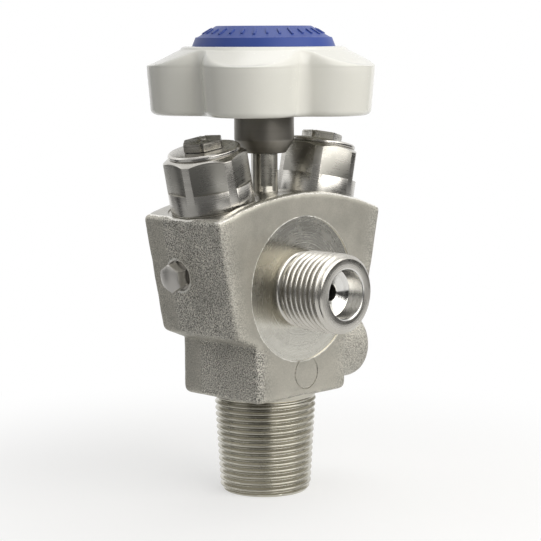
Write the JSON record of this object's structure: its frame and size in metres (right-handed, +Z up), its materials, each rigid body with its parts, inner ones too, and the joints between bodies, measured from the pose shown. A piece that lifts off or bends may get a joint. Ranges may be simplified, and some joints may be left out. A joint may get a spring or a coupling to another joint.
{
  "type": "gas cylinder valve",
  "caption": "Forged steel gas cylinder valve with a lobed handwheel, taper inlet thread, threaded side outlet, canted key-operated units, relief device and side plug.",
  "frame": {"origin": "on the axis of the taper inlet thread, at the thread's foot face and the mouth of the inlet bore", "axes": "+Z up along the spindle towards the handwheel, -Y along the side outlet, +X towards the relief boss and the right-hand canted unit"},
  "size_m": [0.0672, 0.063, 0.1301],
  "materials": {
    "forged_steel": "blasted forging",
    "turned_steel": "turned and milled",
    "dark_metal": "dark satin",
    "wheel_plastic": "gloss moulding",
    "cap_plastic": "satin moulding",
    "seal_rubber": "matt",
    "seat_plastic": "matt",
    "brass": "turned"
  },
  "bodies": {
    "body": {"valve_body": "forged_steel", "gland_bush": "turned_steel", "spindle_seal": "seal_rubber", "left_bonnet": "turned_steel", "left_gasket": "seat_plastic", "left_cover": "turned_steel", "left_seal": "seal_rubber", "right_bonnet": "turned_steel", "right_gasket": "seat_plastic", "right_cover": "turned_steel", "right_seal": "seal_rubber", "relief_plug": "turned_steel", "relief_gasket": "seat_plastic", "bursting_disc": "brass", "side_plug": "turned_steel", "side_plug_washer": "turned_steel"},
    "wheel_set": {"handwheel": "wheel_plastic", "wheel_hub": "dark_metal", "wheel_washer": "turned_steel", "wheel_nut": "turned_steel", "wheel_cap": "cap_plastic", "main_spindle": "turned_steel"},
    "main_seat": {"seat_carrier": "brass", "seat_disc": "seat_plastic"},
    "left_key": {"left_key_hex": "dark_metal", "left_key_spindle": "turned_steel"},
    "left_closure": {"left_carrier": "brass", "left_seat": "seat_plastic"},
    "right_key": {"right_key_hex": "turned_steel", "right_key_spindle": "turned_steel"},
    "right_closure": {"right_carrier": "brass", "right_seat": "seat_plastic"}
  },
  "joints": [
    {"name": "handwheel_turn", "type": "hinge", "parent": "body", "child": "wheel_set", "pos_m": [0, 0, 0.1], "axis": [0, 0, 1], "range_deg": [0, 900]},
    {"name": "main_seat_lift", "type": "slide", "parent": "wheel_set", "child": "main_seat", "axis": [0, 0, 1], "range_m": [0, 0.00375]},
    {"name": "left_key_turn", "type": "hinge", "parent": "body", "child": "left_key", "pos_m": [-0.01975, 0, 0.08171], "axis": [-0.213, 0, 0.977], "range_deg": [0, 720]},
    {"name": "left_seat_lift", "type": "slide", "parent": "left_key", "child": "left_closure", "axis": [-0.213, 0, 0.977], "range_m": [0, 0.0025]},
    {"name": "right_key_turn", "type": "hinge", "parent": "body", "child": "right_key", "pos_m": [0.01975, 0, 0.08171], "axis": [0.213, 0, 0.977], "range_deg": [0, 720]},
    {"name": "right_seat_lift", "type": "slide", "parent": "right_key", "child": "right_closure", "axis": [0.213, 0, 0.977], "range_m": [0, 0.0025]}
  ],
  "couplings": [
    {"joint": "main_seat_lift", "follows": "handwheel_turn", "m_per_rad": 0.0002387},
    {"joint": "left_seat_lift", "follows": "left_key_turn", "m_per_rad": 0.0001989},
    {"joint": "right_seat_lift", "follows": "right_key_turn", "m_per_rad": 0.0001989}
  ]
}
